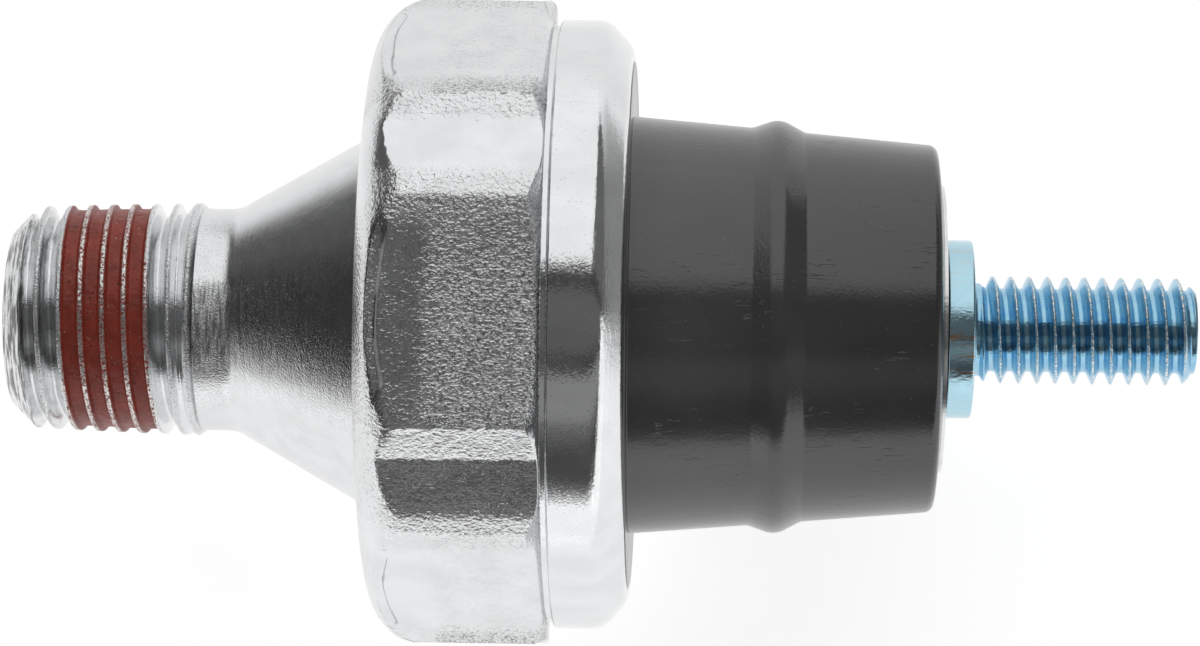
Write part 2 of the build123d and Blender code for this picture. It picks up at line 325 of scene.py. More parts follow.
def body_outline(sizes):
    """The body's outline: thread, neck, cone, shoulder, hexagon, groove, collar and lip, then the inside."""
    def lead_in(x):
        return min(sizes.tip_face_radius + x, pipe_crest(sizes, x))

    groove_end = sizes.hexagon_end + GROOVE_WIDTH
    groove_radius = sizes.collar_radius - GROOVE_DEPTH
    chamber_floor = SEAL_HIGH.x - CHAMBER_DEPTH
    lip_slope_start = LIP_END - 1.08 * MM
    rounding = sizes.shoulder_rounding
    slope = (sizes.cone_foot_radius - sizes.neck_radius) / (sizes.shoulder - sizes.cone_start)
    foot_groove = 0.22 * MM
    neck = rounded([
        (sizes.thread_end + 0.1 * MM, sizes.neck_radius, 0.04 * MM),
        (sizes.cone_start, sizes.neck_radius, 1.1 * MM),
        (sizes.shoulder - foot_groove, sizes.cone_foot_radius - foot_groove * slope, 0.05 * MM),
        (sizes.shoulder - 0.5 * foot_groove, sizes.cone_foot_radius - foot_groove, 0.04 * MM),
        (sizes.shoulder, sizes.cone_foot_radius + 0.08 * MM, 0.05 * MM),
        (sizes.shoulder, HEXAGON_BLANK - rounding, 0),
    ])
    shoulder_arc = []
    for step in range(1, SHOULDER_ARC_STEPS + 1):
        angle = math.radians(90) * step / SHOULDER_ARC_STEPS
        x = sizes.shoulder + rounding * (1 - math.cos(angle))
        shoulder_arc.append(Vector((x, HEXAGON_BLANK - rounding * (1 - math.sin(angle)))))
    hexagon = spaced(shoulder_arc[-1].x + 0.2 * MM, sizes.hexagon_end - 0.2 * MM, 0.2 * MM,
                     lambda x: HEXAGON_BLANK)
    collar = rounded([
        (sizes.hexagon_end, HEXAGON_BLANK, 0.1 * MM),
        (sizes.hexagon_end, groove_radius, 0.05 * MM),
        (groove_end, groove_radius, 0.05 * MM),
        (groove_end, sizes.collar_radius, 0.12 * MM),
        (lip_slope_start, sizes.collar_radius, 1.0 * MM),
        (LIP_END - 0.03 * MM, 12.05 * MM, 0.7 * MM),
        (LIP_END, 11.53 * MM, 0.05 * MM),
        (LIP_END - LIP_BEVEL, GASKET_HIGH.y - 0.35 * MM, 0),
        (LIP_END - LIP_GRIP, RING_HIGH.y + BORE_GAP, 0),
        (DIAPHRAGM_HIGH.x, RING_HIGH.y + BORE_GAP, 0),
        (DIAPHRAGM_HIGH.x, DIAPHRAGM_HIGH.y + BORE_GAP, 0),
        (SEAL_HIGH.x, DIAPHRAGM_HIGH.y + BORE_GAP, 0),
        (SEAL_HIGH.x, SEAL_HIGH.y, 0),
        (SEAL_LOW.x, SEAL_HIGH.y, 0),
        (SEAL_LOW.x, SEAL_HIGH.y - SEAL_WIDTH, 0),
        (SEAL_HIGH.x, SEAL_HIGH.y - SEAL_WIDTH, 0),
        (SEAL_HIGH.x, CHAMBER_RADIUS, 0),
        (chamber_floor, CHAMBER_RADIUS, 0.3 * MM),
        (chamber_floor, PASSAGE_RADIUS, 0.1 * MM),
        (0.5 * MM, PASSAGE_RADIUS, 0),
        (0, 2.1 * MM, 0.05 * MM),
        (0, sizes.tip_face_radius - 0.2 * MM, 0),
        (0, sizes.tip_face_radius, 0.05 * MM),
        (0.3 * MM, lead_in(0.3 * MM), 0),
    ])
    ring_gap = sizes.pitch / RINGS_PER_TURN
    thread = spaced(0.3 * MM, sizes.thread_end - ring_gap, ring_gap, lead_in)
    return thread + neck + shoulder_arc + hexagon + collar[:-1]


def end_recess(angle):
    """How far the hexagon's far edge stands back at an angle, deepest where corner strips meet flats."""
    offset = corner_offset(angle)
    if offset < STRIP_HALF_ANGLE:
        return 0.5 * MM * smooth(offset / STRIP_HALF_ANGLE) ** 2
    share = (offset - STRIP_HALF_ANGLE) / (math.radians(30) - STRIP_HALF_ANGLE)
    return (0.5 - 0.24 * smooth(share * 2.2)) * MM


def pressed_step(x, across, wobble):
    """Moves a ring to the small step near a flat's rounded end, and gives how low the flat lies before it."""
    share = smooth((17 - abs(across)) / 4)
    gap = x - STEP_PLACE
    place = (1.07 + 0.36 * min(abs(across) / 13, 1.1) ** 2 + 0.08 * wobble) * MM
    x += (place - STEP_PLACE) * share * smooth(1 - abs(gap) / (0.8 * MM))
    if abs(gap) < 0.07 * MM:
        x -= 0.6 * gap * share
    return x, 0.07 * MM * share * smooth((gap + 0.6 * MM) / (0.4 * MM)) * (gap < 0)


def body_form(sizes):
    """The body's form on its turned blank: cuts the thread and the hexagon."""
    rounding = sizes.shoulder_rounding
    arc_gap = math.radians(90) / SHOULDER_ARC_STEPS

    def form(x, radius, angle):
        angle = lathe_angle(angle)
        inside = radius <= (12.2 * MM if x > sizes.shoulder + 1.2 * MM else 3 * MM)
        if inside:
            return x, radius, angle
        if x < sizes.cone_start - 1.2 * MM:
            return x, min(radius, pipe_thread_radius(sizes, x, angle)), angle
        if x < sizes.shoulder or x > sizes.hexagon_end + WELD:
            return x, radius, angle
        if radius < sizes.collar_radius - 0.01 * MM and x > sizes.hexagon_end - 0.3 * MM:
            return x, radius, angle
        flat = section_radius(angle)
        if x < sizes.shoulder + rounding:
            along = math.acos(min(max(1 - (x - sizes.shoulder) / rounding, -1), 1))
            meeting = math.asin(min(max((flat - HEXAGON_BLANK) / rounding + 1, -1), 1))
            if abs(along - meeting) <= arc_gap / 2:
                x = sizes.shoulder + rounding * (1 - math.cos(meeting))
                return x, flat, angle
        if radius > flat:
            place = Vector((x, radius * math.cos(angle), radius * math.sin(angle)))
            wobble = noise.noise(place / WAVINESS)
            x, low = pressed_step(x - sizes.shoulder, sector_offset(angle) - 30, wobble)
            x += sizes.shoulder
            radius = flat - 0.03 * MM * (0.5 + 0.5 * wobble) - low
        near_end = smooth((x - sizes.hexagon_end + MM) / MM)
        return x - end_recess(angle) * near_end, radius, angle

    return form


def store_shares(piece, *functions):
    """Keeps each function's share, 0 to 1, on every point under the function's name, for the material."""
    for share_at in functions:
        layer = piece.data.attributes.new(share_at.__name__, "FLOAT", "POINT")
        for index, vertex in enumerate(piece.data.vertices):
            layer.data[index].value = share_at(vertex.co)


def paint_faces(piece, materials, material_at):
    """Gives a piece its materials, and each face the number that a function picks from its middle."""
    for material in materials:
        piece.data.materials.append(material)
    for face in piece.data.polygons:
        face.material_index = material_at(face.center)


def shader(name, metallic=0.0):
    """A new material with its node tree and its main shader."""
    material = bpy.data.materials.new(name)
    material.use_nodes = True
    bsdf = material.node_tree.nodes["Principled BSDF"]
    bsdf.inputs["Metallic"].default_value = metallic
    return material, material.node_tree, bsdf


def add_node(tree, kind, inputs=None, **settings):
    """Adds a node, sets it and links or fills its inputs."""
    made = tree.nodes.new(kind)
    for key, value in settings.items():
        setattr(made, key, value)
    for key, value in (inputs or {}).items():
        socket = made.inputs[key]
        if isinstance(value, bpy.types.NodeSocket):
            tree.links.new(value, socket)
        else:
            socket.default_value = value
    return made


def object_place(tree, stretch=(1, 1, 1), offset=(0, 0, 0)):
    """Object coordinates, stretched along the axes."""
    place = add_node(tree, "ShaderNodeTexCoord").outputs["Object"]
    mapping = {"Vector": place, "Scale": stretch, "Location": offset}
    return add_node(tree, "ShaderNodeMapping", mapping).outputs["Vector"]


def grain(tree, size, detail=3.0, stretch=(1, 1, 1), offset=(0, 0, 0), distortion=0.0):
    """Noise whose grains are about size across."""
    inputs = {"Vector": object_place(tree, stretch, offset), "Scale": 1 / size, "Detail": detail,
              "Distortion": distortion}
    return add_node(tree, "ShaderNodeTexNoise", inputs).outputs["Fac"]


def ramp(tree, value, low, high, start=0.0, end=1.0):
    """Spreads a value from low..high over start..end."""
    inputs = {"Value": value, "From Min": low, "From Max": high, "To Min": start, "To Max": end}
    return add_node(tree, "ShaderNodeMapRange", inputs).outputs["Result"]


def combine(tree, operation, first, second):
    """One sum, product or other operation on two values."""
    return add_node(tree, "ShaderNodeMath", {0: first, 1: second}, operation=operation).outputs["Value"]


def product(tree, first, second):
    """One value times another."""
    return combine(tree, "MULTIPLY", first, second)


def stored(tree, name):
    """A share that store_shares kept on the piece's points."""
    return add_node(tree, "ShaderNodeAttribute", attribute_name=name).outputs["Fac"]


def blend_colours(tree, share, first, second):
    """Mixes two colours."""
    mix = add_node(tree, "ShaderNodeMix", data_type="RGBA")
    for socket, value in ((0, share), (6, first), (7, second)):
        if isinstance(value, bpy.types.NodeSocket):
            tree.links.new(value, mix.inputs[socket])
        elif socket == 0:
            mix.inputs[socket].default_value = value
        else:
            mix.inputs[socket].default_value = (*value, 1)
    return mix.outputs[2]


def relief(tree, bsdf, height, distance):
    """Adds a bump of a real height to the shader's normal."""
    inputs = {"Height": height, "Distance": distance, "Strength": 1.0}
    if bsdf.inputs["Normal"].links:
        inputs["Normal"] = bsdf.inputs["Normal"].links[0].from_socket
    bump = add_node(tree, "ShaderNodeBump", inputs)
    tree.links.new(bump.outputs["Normal"], bsdf.inputs["Normal"])


def tint(colour, factor):
    """A darker or lighter copy of a colour."""
    return tuple(min(1.0, part * factor) for part in colour)


# Colours of marks on the finishes, and of pieces inside
# Dark soil at the thread's tip, also used as painted shade along the top of the neck
SOIL_AND_SHADE = (0.09, 0.09, 0.09)
PALE_BLUE = (0.36, 0.60, 0.74)
COLLAR_BLUE = (0.44, 0.67, 0.77)
AMBER = (0.62, 0.40, 0.26)
BARE_CREST = (0.84, 0.82, 0.78)
BARED_METAL = (0.72, 0.70, 0.68)
SEALANT_SPECK = (0.5, 0.42, 0.38)
# Near black inside the sealant's pits: painted shade
SEALANT_PIT_SHADE = (0.012, 0.006, 0.005)
MOULDING_SPECK = (0.3, 0.3, 0.3)
RUBBER = (0.02, 0.02, 0.02)
BROWN_MOULDING = (0.10, 0.035, 0.015)
SPRING_STEEL = (0.55, 0.55, 0.56)


def zinc_forged(colours):
    """Zinc plate over a forged skin: pitted and sparkling where the share named forged is high."""
    material, tree, bsdf = shader("zinc_forged", metallic=1.0)
    forged = stored(tree, "forged")
    patches = ramp(tree, grain(tree, 1.6 * MM, 4.0), 0.35, 0.65)
    clusters = ramp(tree, grain(tree, 0.3 * MM, 4.0), 0.30, 0.60, 0.25, 1.0)
    clusters = product(tree, clusters, forged)
    pits = ramp(tree, grain(tree, 0.10 * MM, 3.0, stretch=(0.7, 1, 1)), 0.50, 0.60)
    spoiled = product(tree, product(tree, pits, clusters), 0.95)
    base = blend_colours(tree, patches, tint(colours.zinc, 0.9), colours.zinc)
    tree.links.new(blend_colours(tree, spoiled, base, tint(colours.zinc, 0.3)), bsdf.inputs["Base Color"])
    rough = product(tree, forged, 0.06)
    rough = combine(tree, "ADD", ramp(tree, patches, 0, 1, 0.12, 0.18), rough)
    rough = combine(tree, "ADD", rough, ramp(tree, stored(tree, "burred"), 0.5, 0.9, 0.0, 0.6))
    tree.links.new(rough, bsdf.inputs["Roughness"])
    sparkle = product(tree, grain(tree, 0.10 * MM, 2.0, stretch=(0.7, 1, 1)), clusters)
    relief(tree, bsdf, sparkle, 0.085 * MM)
    scratches = ramp(tree, grain(tree, 0.09 * MM, 2.0, stretch=(0.03, 1, 1)), 0.55, 0.7)
    relief(tree, bsdf, product(tree, scratches, forged), 0.006 * MM)
    mottling = product(tree, grain(tree, 0.15 * MM, 3.0), stored(tree, "mottled"))
    relief(tree, bsdf, mottling, 0.07 * MM)
    relief(tree, bsdf, grain(tree, 0.8 * MM, 3.0), 0.03 * MM)
    return material


def zinc_turned(colours):
    """Zinc plate over a turned skin, with a fine grain."""
    material, tree, bsdf = shader("zinc_turned", metallic=1.0)
    patches = ramp(tree, grain(tree, 0.9 * MM, 4.0), 0.3, 0.7)
    specks = ramp(tree, grain(tree, 0.09 * MM, 3.0), 0.58, 0.68)
    base = blend_colours(tree, patches, tint(colours.zinc, 0.9), colours.zinc)
    # Dark chips: wear on the thread's crests and tip, and painted shade along the top of the neck and cone
    wear_and_shade = stored(tree, "wear_and_shade")
    chips_and_shade = product(tree, ramp(tree, grain(tree, 0.08 * MM, 2.0), 0.5, 0.6), wear_and_shade)
    chips_and_shade = product(tree, chips_and_shade, 0.6)
    darkened = combine(tree, "MAXIMUM", product(tree, specks, 0.35), chips_and_shade)
    base = blend_colours(tree, darkened, base, tint(colours.zinc, 0.4))
    # Soil streaks at the tip, and painted shade along the top of the neck
    soil_and_shade_streaks = ramp(tree, grain(tree, 0.12 * MM, 3.0, stretch=(1, 0.1, 0.1)), 0.46, 0.60, 0.0, 0.85)
    base = blend_colours(tree, product(tree, soil_and_shade_streaks, stored(tree, "soiled_and_shaded")), base, SOIL_AND_SHADE)
    tree.links.new(base, bsdf.inputs["Base Color"])
    tree.links.new(ramp(tree, patches, 0, 1, 0.12, 0.16), bsdf.inputs["Roughness"])
    relief(tree, bsdf, grain(tree, 0.2 * MM, 3.0, stretch=(1, 0.1, 0.1)), 0.005 * MM)
    relief(tree, bsdf, grain(tree, 0.07 * MM, 2.0), 0.010 * MM)
    relief(tree, bsdf, product(tree, grain(tree, 0.06 * MM, 2.0), wear_and_shade), 0.04 * MM)
    return material


def zinc_rolled(colours):
    """Bright zinc plate on the rolled collar, with faint lines round the axis."""
    material, tree, bsdf = shader("zinc_rolled", metallic=1.0)
    patches = ramp(tree, grain(tree, 1.3 * MM, 3.0, stretch=(0.6, 1, 1)), 0.35, 0.65)
    lines = grain(tree, 0.12 * MM, 2.0, stretch=(1, 0.04, 0.04))
    specks = ramp(tree, grain(tree, 0.1 * MM, 3.0), 0.64, 0.72)
    base = blend_colours(tree, patches, tint(colours.zinc, 0.92), colours.zinc)
    base = blend_colours(tree, product(tree, specks, 0.4), base, tint(colours.zinc, 0.45))
    tree.links.new(base, bsdf.inputs["Base Color"])
    tree.links.new(ramp(tree, patches, 0, 1, 0.08, 0.14), bsdf.inputs["Roughness"])
    relief(tree, bsdf, lines, 0.006 * MM)
    relief(tree, bsdf, grain(tree, 0.12 * MM, 3.0, stretch=(1, 0.25, 0.25)), 0.008 * MM)
    relief(tree, bsdf, grain(tree, 0.1 * MM, 2.0), 0.004 * MM)
    return material


def blue_zinc(colours):
    """Blue passivated zinc with pale speckled crests, and amber streaks on the collar."""
    material, tree, bsdf = shader("blue_zinc", metallic=1.0)
    crested = stored(tree, "crested")
    patches = ramp(tree, grain(tree, 0.7 * MM, 3.0), 0.35, 0.65)
    streaks = ramp(tree, grain(tree, 0.3 * MM, 3.0, stretch=(0.12, 1, 1)), 0.52, 0.62)
    deep = blend_colours(tree, patches, colours.blue_zinc, PALE_BLUE)
    deep = blend_colours(tree, stored(tree, "collared"), deep, COLLAR_BLUE)
    warm = blend_colours(tree, product(tree, streaks, stored(tree, "streaked")), deep, AMBER)
    specks = ramp(tree, grain(tree, 0.1 * MM, 3.0), 0.45, 0.55)
    pale = blend_colours(tree, product(tree, crested, specks), warm, BARE_CREST)
    tree.links.new(pale, bsdf.inputs["Base Color"])
    tree.links.new(ramp(tree, patches, 0, 1, 0.14, 0.24), bsdf.inputs["Roughness"])
    relief(tree, bsdf, product(tree, grain(tree, 0.06 * MM, 2.0), crested), 0.03 * MM)
    relief(tree, bsdf, grain(tree, 0.12 * MM, 3.0, stretch=(0.4, 1, 1)), 0.012 * MM)
    return material


def dried_sealant(colours):
    """Brick-red dried sealant with a low gloss and pits in painted shade, bare to the metal along the crests.
    """
    material, tree, bsdf = shader("dried_sealant")
    bared = stored(tree, "bared")
    patches = ramp(tree, grain(tree, 0.7 * MM, 4.0), 0.3, 0.7)
    bsdf.inputs["Specular IOR Level"].default_value = 0.4
    pale_specks = ramp(tree, grain(tree, 0.12 * MM, 2.0), 0.69, 0.73)
    pits = ramp(tree, grain(tree, 0.22 * MM, 2.0, offset=(0.03, 0.01, 0.02)), 0.71, 0.75)
    base = blend_colours(tree, patches, tint(colours.sealant, 0.8), tint(colours.sealant, 1.2))
    base = blend_colours(tree, pale_specks, base, SEALANT_SPECK)
    # The pits are painted near black as their shade
    base = blend_colours(tree, pits, base, SEALANT_PIT_SHADE)
    scuffs = product(tree, ramp(tree, grain(tree, 0.09 * MM, 2.0), 0.42, 0.52), bared)
    tree.links.new(blend_colours(tree, scuffs, base, BARED_METAL), bsdf.inputs["Base Color"])
    tree.links.new(scuffs, bsdf.inputs["Metallic"])
    tree.links.new(ramp(tree, scuffs, 0, 1, 0.42, 0.28), bsdf.inputs["Roughness"])
    relief(tree, bsdf, grain(tree, 0.25 * MM, 4.0), 0.05 * MM)
    relief(tree, bsdf, pits, -0.05 * MM)
    return material


def black_moulding(colours):
    """Satin black moulding with a few fine cracks along the axis and pale specks."""
    material, tree, bsdf = shader("black_moulding")
    patches = ramp(tree, grain(tree, 2.5 * MM, 4.0), 0.3, 0.7)
    crack_zones = ramp(tree, grain(tree, 2.2 * MM, 1.0, offset=(0.01, 0.02, 0.03)), 0.55, 0.65)
    cracks = ramp(tree, grain(tree, 0.16 * MM, 3.0, stretch=(0.12, 1, 1), distortion=0.4), 0.62, 0.68)
    cracks = product(tree, cracks, crack_zones)
    specks = ramp(tree, grain(tree, 0.09 * MM, 2.0), 0.71, 0.75)
    bsdf.inputs["Specular IOR Level"].default_value = 0.85
    along = add_node(tree, "ShaderNodeSeparateXYZ", {"Vector": object_place(tree)}).outputs["X"]
    toward_end = ramp(tree, along, LIP_END, INSULATOR_HIGH.x)
    base = blend_colours(tree, patches, colours.plastic, tint(colours.plastic, 1.3))
    base = blend_colours(tree, toward_end, base, tint(colours.plastic, 0.62))
    base = blend_colours(tree, product(tree, specks, 0.5), base, MOULDING_SPECK)
    tree.links.new(base, bsdf.inputs["Base Color"])
    tree.links.new(ramp(tree, patches, 0, 1, 0.17, 0.23), bsdf.inputs["Roughness"])
    relief(tree, bsdf, cracks, -0.012 * MM)
    relief(tree, bsdf, grain(tree, 0.14 * MM, 3.0), 0.006 * MM)
    relief(tree, bsdf, grain(tree, 1.2 * MM, 2.0), 0.010 * MM)
    return material


def inner_metal(name, colour, roughness):
    """Metal of a piece inside, with fine marks."""
    material, tree, bsdf = shader(name, metallic=1.0)
    patches = ramp(tree, grain(tree, 0.8 * MM, 3.0), 0.3, 0.7)
    tree.links.new(blend_colours(tree, patches, tint(colour, 0.8), colour), bsdf.inputs["Base Color"])
    tree.links.new(ramp(tree, patches, 0, 1, roughness, roughness + 0.1), bsdf.inputs["Roughness"])
    relief(tree, bsdf, grain(tree, 0.2 * MM, 3.0), 0.01 * MM)
    return material


def inner_plastic(name, colour, roughness):
    """Rubber, film or moulding of a piece inside."""
    material, tree, bsdf = shader(name)
    patches = ramp(tree, grain(tree, 1.2 * MM, 3.0), 0.3, 0.7)
    base = blend_colours(tree, patches, tint(colour, 0.7), tint(colour, 1.2))
    tree.links.new(base, bsdf.inputs["Base Color"])
    tree.links.new(ramp(tree, patches, 0, 1, roughness, roughness + 0.12), bsdf.inputs["Roughness"])
    relief(tree, bsdf, grain(tree, 0.25 * MM, 3.0), 0.015 * MM)
    return material


class SENDER_OT_body(bpy.types.Operator):
    """Turn the steel body, cut its pipe thread and form its hexagon"""
    bl_idname = "sender.make_body"
    bl_label = "Steel Body"

    def execute(self, context):
        sizes = context.scene.sender_body
        colours = context.scene.sender_colours
        body = lathe("steel_body", body_outline(sizes), LATHE_STEPS)
        reshape(body, body_form(sizes))
        finish_mesh(body)

        def forged(place):
            angle = math.atan2(place.z, place.y)
            along = 0.3 + 0.7 * smooth((place.x - sizes.shoulder - 2.6 * MM) / MM)
            offset = sector_offset(angle)
            if offset < 10:
                return 0.3 if place.y < 0 else 0.0
            along *= 0.4 + 0.6 * smooth((offset - 13) / 14)
            on_top_or_bottom = abs(math.sin(angle - math.radians(offset - 30))) > 0.9
            middle = smooth((offset - 13) / 4) * smooth((47 - offset) / 4)
            return along * (1 if on_top_or_bottom else 1 - 0.8 * middle)

        def mottled(place):
            offset = sector_offset(math.atan2(place.z, place.y))
            upper = smooth(place.y / MM) * smooth((13 * MM - place.y) / MM)
            lower_edge = smooth((offset - 3.5) / 2) * smooth((18 - offset) / 5)
            upper_edge = smooth((offset - 43) / 3)
            strip_edge = smooth((-4.5 - offset) / 1.5)
            near = max(lower_edge * (0.6 + 0.4 * upper), upper_edge * (0.3 + 0.7 * upper),
                       strip_edge * (0.2 + 0.8 * upper))
            on_shoulder = smooth((sizes.shoulder + 1.6 * MM - place.x) / (1.2 * MM))
            return max(near * (1 - on_shoulder), 0.4 * on_shoulder, 0.04)

        # Painted shade: a band along the top of the neck and cone, facing the camera, darkened with soil
        # streaks and chips
        def painted_shade_band(place):
            return smooth((2.2 * MM - abs(place.y + 0.4 * MM)) / MM) if place.z > 0 else 0.0

        def on_neck(place):
            return smooth((sizes.cone_start + 0.7 * MM - place.x) / MM)

        # Soil at the tip; along the top of the neck this darkening is painted shade
        def soiled_and_shaded(place):
            if math.hypot(place.y, place.z) < sizes.tip_face_radius - 0.1 * MM:
                return 0.0
            if place.x > sizes.thread_end:
                return 0.7 * on_neck(place) * painted_shade_band(place)
            return max(smooth((1.25 * MM - place.x) / (0.4 * MM)), 0.3 if place.x < 2.5 * MM else 0.0)

        def burred(place):
            across = sector_offset(math.atan2(place.z, place.y)) - 30
            line = pressed_step(STEP_PLACE, across, noise.noise(place / WAVINESS))[0]
            gap = abs(place.x - sizes.shoulder - line)
            return smooth((15 - abs(across)) / 2) if gap < 0.03 * MM and place.z > 0 else 0.0

        # Wear on the crests, tip and neck; along the top of the neck and cone the extra chips are painted
        # shade
        def wear_and_shade(place):
            if place.x < 0.9 * MM:
                return 0.25
            if place.x > sizes.thread_end:
                front = painted_shade_band(place)
                on_cone = smooth((sizes.shoulder + 1.5 * MM - place.x) / (4 * MM))
                return max((0.3 + 0.7 * front) * on_neck(place), 0.45 * front * on_cone, 0.15)
            radius = math.hypot(place.y, place.z)
            return 1 - smooth((pipe_crest(sizes, place.x) - radius) / (0.06 * MM))

        def material_at(place):
            if math.hypot(place.y, place.z) < 10 * MM or place.x < sizes.shoulder + 0.05 * MM:
                return 0
            return 1 if place.x < sizes.hexagon_end + 0.05 * MM else 2

        store_shares(body, forged, mottled, wear_and_shade, soiled_and_shaded, burred)
        paint_faces(body, [zinc_turned(colours), zinc_forged(colours), zinc_rolled(colours)], material_at)
        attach(body, "housing")
        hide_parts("body")
        return {"FINISHED"}


class SENDER_OT_sealant(bpy.types.Operator):
    """Lay the dried sealant into the pipe thread"""
    bl_idname = "sender.make_sealant"
    bl_label = "Thread Sealant"

    def execute(self, context):
        sizes = context.scene.sender_sealant
        thread = context.scene.sender_body
        gap = thread.pitch / RINGS_PER_TURN / 2
        low = thread.tip_radius - thread.thread_depth - 0.3 * MM
        buried = 0.05 * MM
        skin = 0.018 * MM
        top = spaced(sizes.start, sizes.end, gap, lambda x: pipe_crest(thread, x))
        foot = spaced(sizes.end, sizes.start, -2 * gap, lambda x: low)
        band = lathe("sealant_band", top + foot, LATHE_STEPS)
        ends = 4 * gap

        def form(x, radius, angle):
            angle = lathe_angle(angle)
            ripple = noise.noise(Vector((math.cos(angle) * 2, math.sin(angle) * 2, 3)))
            fine_ripple = noise.noise(Vector((math.cos(angle) * 9, math.sin(angle) * 9, 7)))
            share = (x - sizes.start) / (sizes.end - sizes.start)
            from_end = min(x - sizes.start, sizes.end - x)
            bulge = 0.12 * ripple + 0.05 * fine_ripple - (0.11 + 0.11 * share) * math.cos(angle)
            x += (bulge + (0.24 if share > 0.5 else 0.2) * math.sin(angle) * abs(2 * share - 1)) * MM
            metal = pipe_thread_radius(thread, x, angle)
            inner = metal - buried
            if radius < low + WELD:
                return x, inner, angle
            place = Vector((x, radius * math.cos(angle), radius * math.sin(angle)))
            uneven = noise.noise(place / (0.5 * MM)) * MM
            filled = pipe_crest(thread, x) - sizes.groove_depth + 0.04 * uneven
            outer = max(metal + skin, filled)
            return x, inner + (outer - inner) * smooth(from_end / ends), angle

        def bared(place):
            angle = math.atan2(place.z, place.y)
            metal = pipe_thread_radius(thread, place.x, angle)
            return 1 - smooth((pipe_crest(thread, place.x) - metal) / (0.05 * MM))

        reshape(band, form)
        store_shares(band, bared)
        finish_mesh(band)
        band.data.materials.append(dried_sealant(context.scene.sender_colours))
        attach(band, "housing")
        return {"FINISHED"}


class SENDER_OT_insulator(bpy.types.Operator):
    """Turn the moulded insulator with its bead and cavity"""
    bl_idname = "sender.make_insulator"
    bl_label = "Insulator"

    def execute(self, context):
        sizes = context.scene.sender_insulator
        face = LIP_END + 0.04 * MM
        bead = face + 5.11 * MM
        flange_neck_radius = 11.47 * MM
        cavity_radius = 6.2 * MM

        def barrel(x):
            return sizes.barrel_radius - (x - face - 0.16 * MM) * math.tan(sizes.draft)

        outline = rounded([
            (INSULATOR_LOW.x, cavity_radius, 0),
            (INSULATOR_LOW.x, INSULATOR_HIGH.y, 0.1 * MM),
            (LIP_END - LIP_GRIP, INSULATOR_HIGH.y, 0.1 * MM),
            (LIP_END - LIP_BEVEL, flange_neck_radius, 0),
            (face, flange_neck_radius, 0.08 * MM),
            (face, barrel(face), 0.05 * MM),
            (bead, barrel(bead), 0.6 * MM),
            (bead + 0.95 * MM, barrel(bead + 0.95 * MM) + sizes.bead_height, 0.95 * MM),
            (bead + 1.4 * MM, barrel(bead + 1.4 * MM) + sizes.bead_height, 0.95 * MM),
            (bead + 2.3 * MM, barrel(bead + 2.3 * MM), 0.5 * MM),
            (INSULATOR_HIGH.x - 0.2 * MM, barrel(INSULATOR_HIGH.x), 0.4 * MM),
            (INSULATOR_HIGH.x, 6.3 * MM, 0.3 * MM),
            (INSULATOR_HIGH.x, HOLE_RADIUS, 0),
            (SEAT_HIGH.x, HOLE_RADIUS, 0),
            (SEAT_HIGH.x, cavity_radius, 0.4 * MM),
        ], math.radians(8))
        insulator = lathe("black_insulator", outline, 160)
        finish_mesh(insulator)
        insulator.data.materials.append(black_moulding(context.scene.sender_colours))
        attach(insulator, "housing")
        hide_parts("insulator")
        return {"FINISHED"}


class SENDER_OT_stud(bpy.types.Operator):
    """Turn the terminal stud and cut its thread"""
    bl_idname = "sender.make_stud"
    bl_label = "Terminal Stud"

    def execute(self, context):
        sizes = context.scene.sender_stud
        collar_start = TERMINAL_SEAL_HIGH.x
        collar_end = collar_start + STUD_COLLAR_WIDTH
        thread_start = collar_end + 0.3 * MM
        shank_radius = 2 * MM
        rivet_radius = 2.8 * MM
        rivet_end = SEAT_LOW.x + MM
        relief_radius = 2.02 * MM
        inner = rounded([
            (STUD_LOW.x, 0, 0),
            (STUD_LOW.x, rivet_radius, 0.5 * MM),
            (rivet_end, rivet_radius, 0),
            (rivet_end, shank_radius, 0),
            (collar_start, shank_radius, 0),
            (collar_start, STUD_HIGH.y, 0.05 * MM),
            (collar_end, STUD_HIGH.y, 0.12 * MM),
            (collar_end, relief_radius, 0.25 * MM),
            (thread_start, relief_radius, 0),
        ])
        gap = sizes.pitch / RINGS_PER_TURN

        def tip(x):
            return min(sizes.crest_radius, sizes.crest_radius - 0.55 * MM + (STUD_HIGH.x - x))

        thread = spaced(thread_start + gap, STUD_HIGH.x, gap, tip)
        end = [Vector((STUD_HIGH.x, MM)), Vector((STUD_HIGH.x, 0))]
        stud = lathe("threaded_stud", inner + thread + end, 128, closed=False)

        def form(x, radius, angle):
            if x < thread_start or radius < 1.2 * MM:
                return x, radius, angle
            turns = (x - STUD_CREST_PLACE) / sizes.pitch - angle / math.tau
            depth = sizes.crest_radius - sizes.root_radius
            cut = sizes.crest_radius - depth * thread_groove(turns, 0.09, 0.24)
            start = smooth((x - thread_start) / (0.35 * MM))
            cut = relief_radius + (cut - relief_radius) * start
            return x, min(radius, cut), angle

        def crested(place):
            radius = math.hypot(place.y, place.z)
            crest = smooth((radius - sizes.crest_radius + 0.07 * MM) / (0.06 * MM))
            return crest if place.x > thread_start else 0.0

        def collared(place):
            on_collar = collar_start < place.x < collar_end
            return 1.0 if on_collar and math.hypot(place.y, place.z) > 3 * MM else 0.0

        def streaked(place):
            front = smooth((1.7 * MM - abs(place.y + 0.9 * MM)) / (0.5 * MM)) if place.z > 0 else 0.0
            return collared(place) * max(front, 0.15)

        reshape(stud, form)
        store_shares(stud, streaked, crested, collared)
        finish_mesh(stud)
        stud.data.materials.append(blue_zinc(context.scene.sender_colours))
        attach(stud, "housing")
        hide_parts("terminal_stud")
        return {"FINISHED"}


